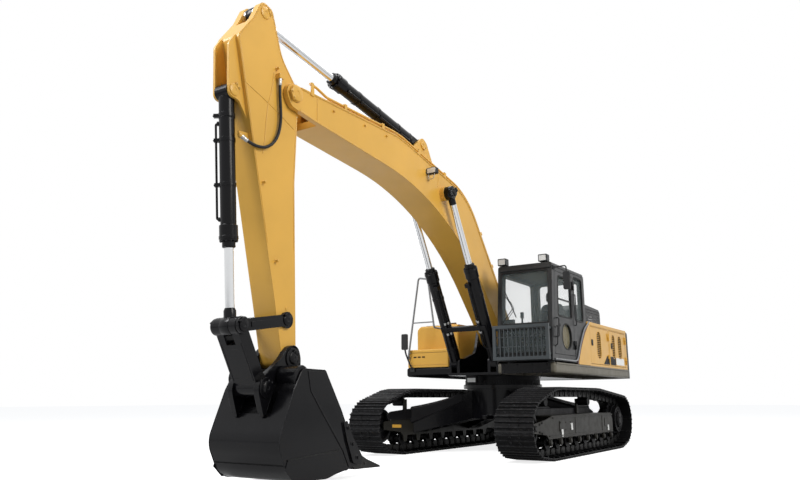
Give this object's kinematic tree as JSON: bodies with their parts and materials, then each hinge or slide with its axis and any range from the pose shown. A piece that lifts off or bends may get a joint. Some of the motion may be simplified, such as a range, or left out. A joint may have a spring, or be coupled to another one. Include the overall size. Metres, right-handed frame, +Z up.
{
  "type": "crawler excavator",
  "caption": "Crawler excavator with two tracks, slewing house, cab with guard, one-piece boom, arm, toothed bucket, cylinders and opening doors.",
  "frame": {"origin": "on the ground, on the axis about which the house slews", "axes": "+X forward towards the bucket, +Y to the left (the cab side), +Z up"},
  "size_m": [10.3107, 3.407, 5.4425],
  "materials": {
    "track": "worn satin",
    "black_paint": "gloss",
    "yellow_paint": "gloss",
    "grey_paint": "satin",
    "cast": "painted",
    "chrome_rod": "polished",
    "glass": "tinted",
    "plastic": "matt",
    "cloth": "woven",
    "rail": "satin",
    "teeth": "worn",
    "rubber": "matt",
    "lamp": "satin",
    "engine": "painted"
  },
  "bodies": {
    "undercarriage": {"track_left": "track", "track_right": "track", "track_frame_left": "black_paint", "track_frame_right": "black_paint", "sprockets": "cast", "idlers": "cast", "track_rollers": "cast", "centre_frame": "black_paint", "slewing_ring": "cast"},
    "house": {"revolving_frame": "black_paint", "deck_left": "grey_paint", "deck_right": "black_paint", "counterweight": "cast", "engine_block": "engine", "body_frame_left": "yellow_paint", "body_frame_right": "yellow_paint", "fuel_tank": "yellow_paint", "hydraulic_tank": "yellow_paint", "toolbox": "yellow_paint", "cab_floor": "black_paint", "cab_front": "black_paint", "cab_left": "black_paint", "cab_right": "black_paint", "cab_rear": "black_paint", "cab_roof": "black_paint", "cab_glass": "glass", "operator_seat": "cloth", "control_consoles": "plastic", "cab_guard": "black_paint", "work_lamps": "lamp", "hand_rail_right": "rail", "mirrors": "plastic"},
    "cab_door": {"cab_door": "black_paint", "cab_door_glass": "glass"},
    "side_door_front": {"side_door_front": "yellow_paint"},
    "side_door_rear": {"side_door_rear": "yellow_paint"},
    "side_door_right": {"side_door_right": "yellow_paint"},
    "engine_hood": {"engine_hood": "black_paint"},
    "toolbox_lid": {"toolbox_lid": "yellow_paint"},
    "boom": {"boom": "yellow_paint", "boom_pipes": "black_paint"},
    "arm": {"arm": "yellow_paint", "bucket_hose": "rubber"},
    "bucket": {"bucket": "black_paint", "bucket_teeth": "teeth"},
    "rockers": {"rockers": "black_paint"},
    "bucket_link": {"bucket_link": "black_paint"},
    "boom_barrels": {"boom_barrels": "black_paint", "cylinder_pipes": "black_paint"},
    "boom_rods": {"boom_rods": "chrome_rod"},
    "arm_barrel": {"arm_barrel": "black_paint"},
    "arm_rod": {"arm_rod": "chrome_rod"},
    "bucket_barrel": {"bucket_barrel": "black_paint"},
    "bucket_rod": {"bucket_rod": "chrome_rod"}
  },
  "joints": [
    {"name": "house_slew", "type": "hinge", "parent": "undercarriage", "child": "house", "pos_m": [0, 0, 1.2], "axis": [0, 0, 1], "continuous": true},
    {"name": "cab_door_hinge", "type": "hinge", "parent": "house", "child": "cab_door", "pos_m": [0.369, 1.542, 1.8], "axis": [0, 0, 1], "range_deg": [0, 175]},
    {"name": "side_door_front_hinge", "type": "hinge", "parent": "house", "child": "side_door_front", "pos_m": [-1.497, 1.522, 1.8], "axis": [0, 0, 1], "range_deg": [0, 100]},
    {"name": "side_door_rear_hinge", "type": "hinge", "parent": "house", "child": "side_door_rear", "pos_m": [-2.597, 1.522, 1.8], "axis": [0, 0, 1], "range_deg": [0, 100]},
    {"name": "side_door_right_hinge", "type": "hinge", "parent": "house", "child": "side_door_right", "pos_m": [-2.597, -1.522, 1.8], "axis": [0, 0, -1], "range_deg": [0, 100]},
    {"name": "engine_hood_hinge", "type": "hinge", "parent": "house", "child": "engine_hood", "pos_m": [-2.697, 0.32, 2.275], "axis": [0, -1, 0], "range_deg": [0, 60]},
    {"name": "toolbox_lid_hinge", "type": "hinge", "parent": "house", "child": "toolbox_lid", "pos_m": [0.52, -1.065, 1.784], "axis": [0, -1, 0], "range_deg": [0, 80]},
    {"name": "boom_lift", "type": "hinge", "parent": "house", "child": "boom", "pos_m": [0.2, 0, 2], "axis": [0, -1, 0], "range_deg": [-58, 27]},
    {"name": "arm_swing", "type": "hinge", "parent": "boom", "child": "arm", "pos_m": [6.03, 0, 4.47], "axis": [0, 1, 0], "range_deg": [-78, 38]},
    {"name": "bucket_curl", "type": "hinge", "parent": "arm", "child": "bucket", "pos_m": [5.92, 0, 1.345], "axis": [0, 1, 0], "range_deg": [-75, 75]},
    {"name": "boom_barrels_swing", "type": "hinge", "parent": "house", "child": "boom_barrels", "pos_m": [1.04, 0, 1.487], "axis": [0, -1, 0], "range_deg": [-64.42, 30.26]},
    {"name": "boom_rods_stroke", "type": "slide", "parent": "boom_barrels", "child": "boom_rods", "axis": [0.4913, 0, 0.871], "range_m": [-0.903, 0.425]},
    {"name": "arm_barrel_swing", "type": "hinge", "parent": "boom", "child": "arm_barrel", "pos_m": [2.9, 0, 4.8], "axis": [0, 1, 0], "range_deg": [-7.04, 3.68]},
    {"name": "arm_rod_stroke", "type": "slide", "parent": "arm_barrel", "child": "arm_rod", "axis": [0.9898, 0, 0.1422], "range_m": [-1.211, 0.595]},
    {"name": "rockers_swing", "type": "hinge", "parent": "arm", "child": "rockers", "pos_m": [6.006, 0, 1.765], "axis": [0, 1, 0], "range_deg": [-60.36, 60.36]},
    {"name": "bucket_link_swing", "type": "hinge", "parent": "bucket", "child": "bucket_link", "pos_m": [6.323, 0, 1.019], "axis": [0, 1, 0], "range_deg": [-51.88, 51.88]},
    {"name": "bucket_barrel_swing", "type": "hinge", "parent": "arm", "child": "bucket_barrel", "pos_m": [6.9, 0, 4.22], "axis": [0, 1, 0], "range_deg": [-1.86, 1.86]},
    {"name": "bucket_rod_stroke", "type": "slide", "parent": "bucket_barrel", "child": "bucket_rod", "axis": [-0.0877, 0, -0.9961], "range_m": [-0.618, 0.618]}
  ],
  "couplings": [
    {"joint": "boom_barrels_swing", "follows": "boom_lift", "ratio": 1.1021},
    {"joint": "boom_rods_stroke", "follows": "boom_lift", "m_per_rad": 0.88167},
    {"joint": "arm_barrel_swing", "follows": "arm_swing", "ratio": 0.08378},
    {"joint": "arm_rod_stroke", "follows": "arm_swing", "m_per_rad": 0.88249},
    {"joint": "rockers_swing", "follows": "bucket_curl", "ratio": 0.79813},
    {"joint": "bucket_link_swing", "follows": "bucket_curl", "ratio": -0.685},
    {"joint": "bucket_barrel_swing", "follows": "bucket_curl", "ratio": 0.0181},
    {"joint": "bucket_rod_stroke", "follows": "bucket_curl", "m_per_rad": 0.46486}
  ]
}
